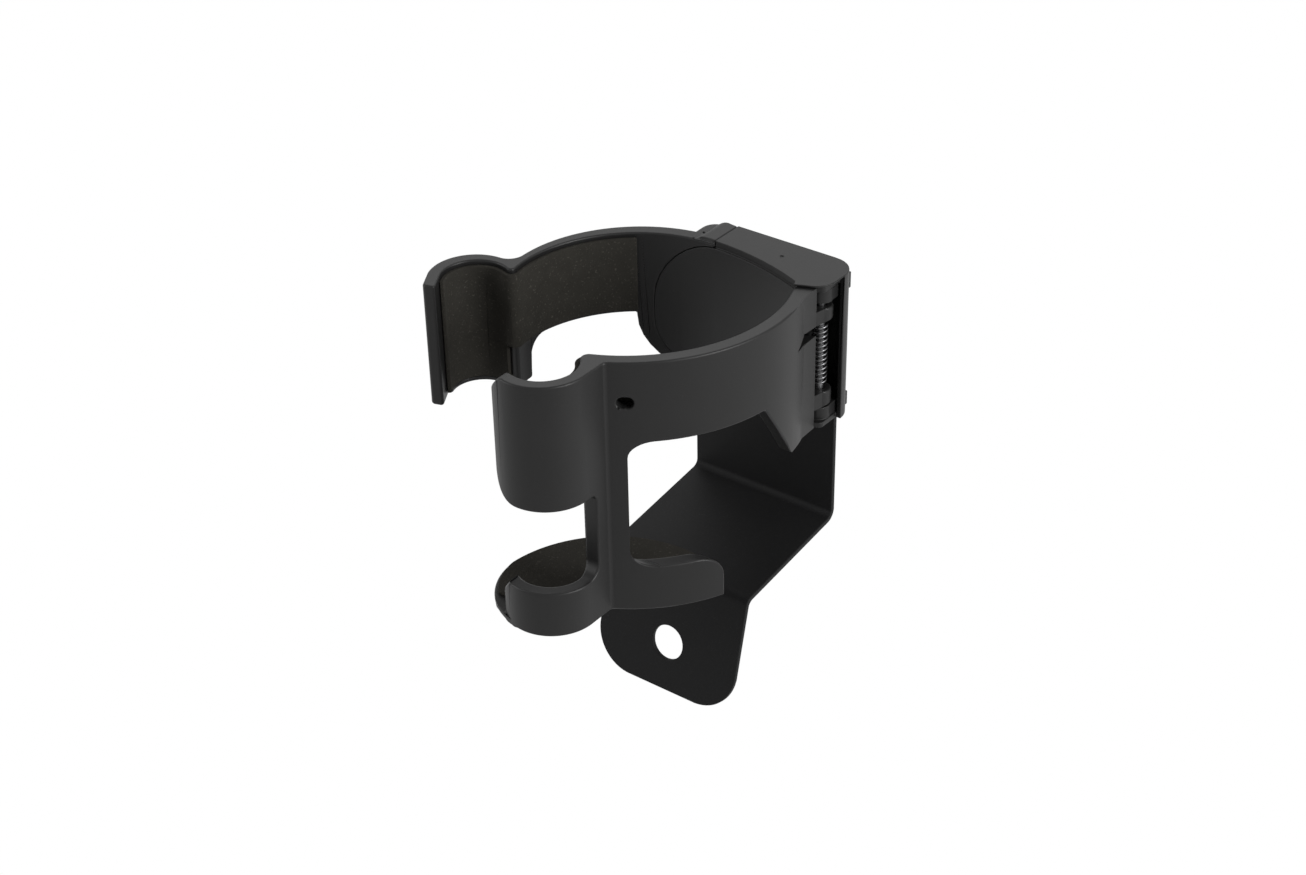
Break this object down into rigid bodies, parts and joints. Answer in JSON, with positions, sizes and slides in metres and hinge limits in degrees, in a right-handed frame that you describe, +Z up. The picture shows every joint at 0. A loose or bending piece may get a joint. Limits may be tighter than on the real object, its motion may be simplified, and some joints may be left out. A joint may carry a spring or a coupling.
{
  "type": "drink holder",
  "caption": "Black vehicle cup holder: a fixed and a spring-closed grip arm on a hinge housing, carried by a folded steel bracket with a bolt hole.",
  "frame": {"origin": "centre of the bolt hole, on the outer face of the bracket's tab", "axes": "+X to the hinge side, across the bracket; +Y towards the bracket's back; +Z up, along the cup"},
  "size_m": [0.0908, 0.0998, 0.1202],
  "materials": {
    "black_plastic": "fine satin grain",
    "black_steel": "satin powder coat",
    "foam": "matte closed-cell foam",
    "bright_steel": "plain drawn wire"
  },
  "bodies": {
    "holder": {"bracket": "black_steel", "hinge_housing": "black_plastic", "fixed_arm": "black_plastic", "fixed_arm_pad": "foam", "hinge_pin": "bright_steel", "torsion_spring": "bright_steel", "screw_upper_left": "bright_steel", "screw_upper_right": "bright_steel", "screw_lower_left": "bright_steel", "screw_lower_right": "bright_steel"},
    "arm": {"swing_arm": "black_plastic", "swing_arm_pad": "foam", "base_pad": "foam"}
  },
  "joints": [
    {"name": "arm_swing", "type": "hinge", "parent": "holder", "child": "arm", "pos_m": [0.02435, 0.03555, 0.08432], "axis": [0, 0, 1], "range_deg": [0, 30], "stiffness_Nm_per_rad": 0.15, "springref_deg": -57.3, "deforming": ["torsion_spring"]}
  ]
}
